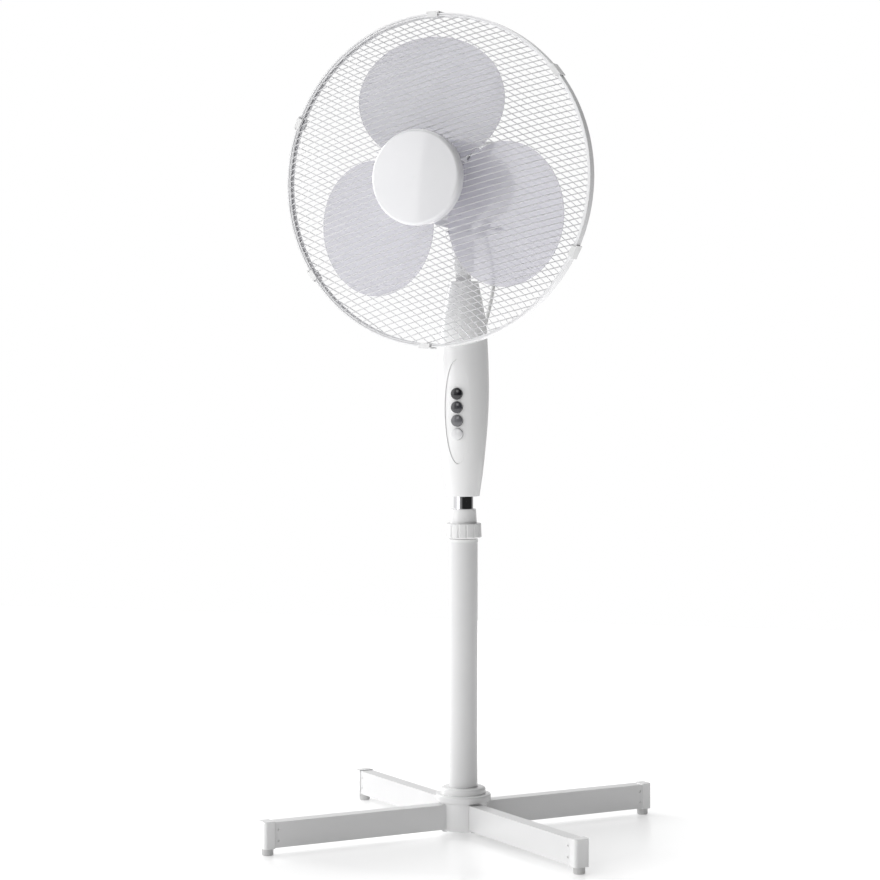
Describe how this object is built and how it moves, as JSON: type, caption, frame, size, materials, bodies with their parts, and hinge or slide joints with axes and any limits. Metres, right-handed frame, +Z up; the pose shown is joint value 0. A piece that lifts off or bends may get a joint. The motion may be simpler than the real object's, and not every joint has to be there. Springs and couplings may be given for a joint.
{
  "type": "pedestal fan",
  "caption": "White pedestal fan on a low cross foot, with a telescopic pole, a push-button control column and a tilting, oscillating head behind flat-wired guards",
  "frame": {"origin": "on the floor, on the pole's axis", "axes": "+Z up, the fan looks along -Y"},
  "size_m": [0.4416, 0.4302, 1.0811],
  "materials": {
    "white_gloss": "glossy moulded plastic",
    "white_paint": "glossy white powder coat",
    "wire_coat": "dipped white coating on steel wire",
    "chrome": "bright chrome plate",
    "steel": "plain zinc-plated steel",
    "cast": "die-cast",
    "copper": "varnished winding wire",
    "bronze": "sintered bronze",
    "nylon": "moulded nylon",
    "dark_plastic": "moulded plastic",
    "blade_tint": "translucent cool grey moulding",
    "key_white": "glossy",
    "key_light": "glossy",
    "key_mid": "glossy",
    "key_black": "glossy",
    "foot_rubber": "soft moulded pad",
    "lead_sheath": "smooth flexible sheath"
  },
  "bodies": {
    "base": {"hub": "white_gloss", "hub_cover": "white_gloss", "leg_front_left": "white_paint", "leg_front_right": "white_paint", "leg_rear_right": "white_paint", "leg_rear_left": "white_paint", "leg_caps": "white_gloss", "foot_pads": "foot_rubber", "base_fasteners": "steel", "outer_pole": "white_paint", "pole_bush": "white_gloss"},
    "collar": {"collar_nut": "white_gloss"},
    "swivel": {"clamp_sleeve": "dark_plastic"},
    "mast": {"inner_pole": "chrome", "column_front": "white_gloss", "column_rear": "white_gloss", "control_panel": "white_gloss", "switch_block": "dark_plastic", "tilt_bracket": "steel", "tilt_bolt": "steel", "column_screws": "steel", "cord_gland": "white_gloss"},
    "key_off": {"button_off": "key_white"},
    "key_low": {"button_low": "key_light"},
    "key_medium": {"button_medium": "key_mid"},
    "key_high": {"button_high": "key_black"},
    "neck": {"neck": "white_gloss", "pivot_pin": "steel", "lead_lower": "lead_sheath", "lead_upper": "lead_sheath"},
    "head": {"pivot_block": "cast", "stator_core": "steel", "windings": "copper", "front_bracket": "cast", "rear_bracket": "cast", "shaft_bushes": "bronze", "gear_case": "dark_plastic", "motor_front_cover": "white_gloss", "motor_rear_cover": "white_gloss", "motor_screws": "steel", "rear_guard_rings": "wire_coat", "rear_guard_wires": "wire_coat", "rear_plate": "wire_coat", "guard_nut": "white_gloss", "front_guard_rings": "wire_coat", "front_guard_wires": "wire_coat", "front_plate": "wire_coat", "guard_band": "wire_coat", "rim_clips": "white_gloss", "centre_cap": "white_gloss"},
    "rotor": {"shaft": "steel", "rotor_core": "steel", "blade": "blade_tint", "spinner": "blade_tint"},
    "wheel": {"worm_wheel": "nylon"},
    "crank": {"crank": "steel"},
    "rod": {"link_rod": "steel"},
    "knob": {"oscillation_knob": "white_gloss"}
  },
  "joints": [
    {"name": "clamp_swivel", "type": "hinge", "parent": "base", "child": "swivel", "pos_m": [0, 0, 0.391], "axis": [0, 0, 1], "continuous": true},
    {"name": "nut_turn", "type": "hinge", "parent": "base", "child": "collar", "pos_m": [0, 0, 0.406], "axis": [0, 0, 1], "range_deg": [0, 80]},
    {"name": "height_slide", "type": "slide", "parent": "swivel", "child": "mast", "axis": [0, 0, 1], "range_m": [0, 0.19]},
    {"name": "press_off", "type": "slide", "parent": "mast", "child": "key_off", "axis": [0, 1, 0], "range_m": [0, 0.0035], "stiffness_N_per_m": 400},
    {"name": "press_low", "type": "slide", "parent": "mast", "child": "key_low", "axis": [0, 1, 0], "range_m": [0, 0.0035], "stiffness_N_per_m": 400},
    {"name": "press_medium", "type": "slide", "parent": "mast", "child": "key_medium", "axis": [0, 1, 0], "range_m": [0, 0.0035], "stiffness_N_per_m": 400},
    {"name": "press_high", "type": "slide", "parent": "mast", "child": "key_high", "axis": [0, 1, 0], "range_m": [0, 0.0035], "stiffness_N_per_m": 400},
    {"name": "tilt", "type": "hinge", "parent": "mast", "child": "neck", "pos_m": [0, 0, 0.73], "axis": [-1, 0, 0], "range_deg": [-10, 25], "deforming": ["lead_lower"]},
    {"name": "oscillate", "type": "hinge", "parent": "neck", "child": "head", "pos_m": [0, 0, 0.801], "axis": [0, 0, 1], "range_deg": [-35, 35], "deforming": ["lead_upper"]},
    {"name": "crank_turn", "type": "hinge", "parent": "head", "child": "crank", "pos_m": [0.02171, 0.04324, 0.8084], "axis": [0, 0, 1], "range_deg": [-60, 60]},
    {"name": "rod_turn", "type": "hinge", "parent": "neck", "child": "rod", "pos_m": [-0.022, 0.006, 0.8029], "axis": [0, 0, 1], "range_deg": [-26, 26]},
    {"name": "knob_pull", "type": "slide", "parent": "head", "child": "knob", "axis": [0, 0, 1], "range_m": [0, 0.006]},
    {"name": "fan_spin", "type": "hinge", "parent": "head", "child": "rotor", "pos_m": [-0.00449, -0.02966, 0.864], "axis": [-0.1495, -0.9888, 0], "continuous": true},
    {"name": "wheel_spin", "type": "hinge", "parent": "head", "child": "wheel", "pos_m": [0.02171, 0.04324, 0.864], "axis": [0, 0, 1], "continuous": true}
  ],
  "couplings": [
    {"joint": "crank_turn", "follows": "oscillate", "ratio": -1.6},
    {"joint": "rod_turn", "follows": "oscillate", "ratio": 0.68},
    {"joint": "wheel_spin", "follows": "fan_spin", "ratio": 0.041667}
  ]
}
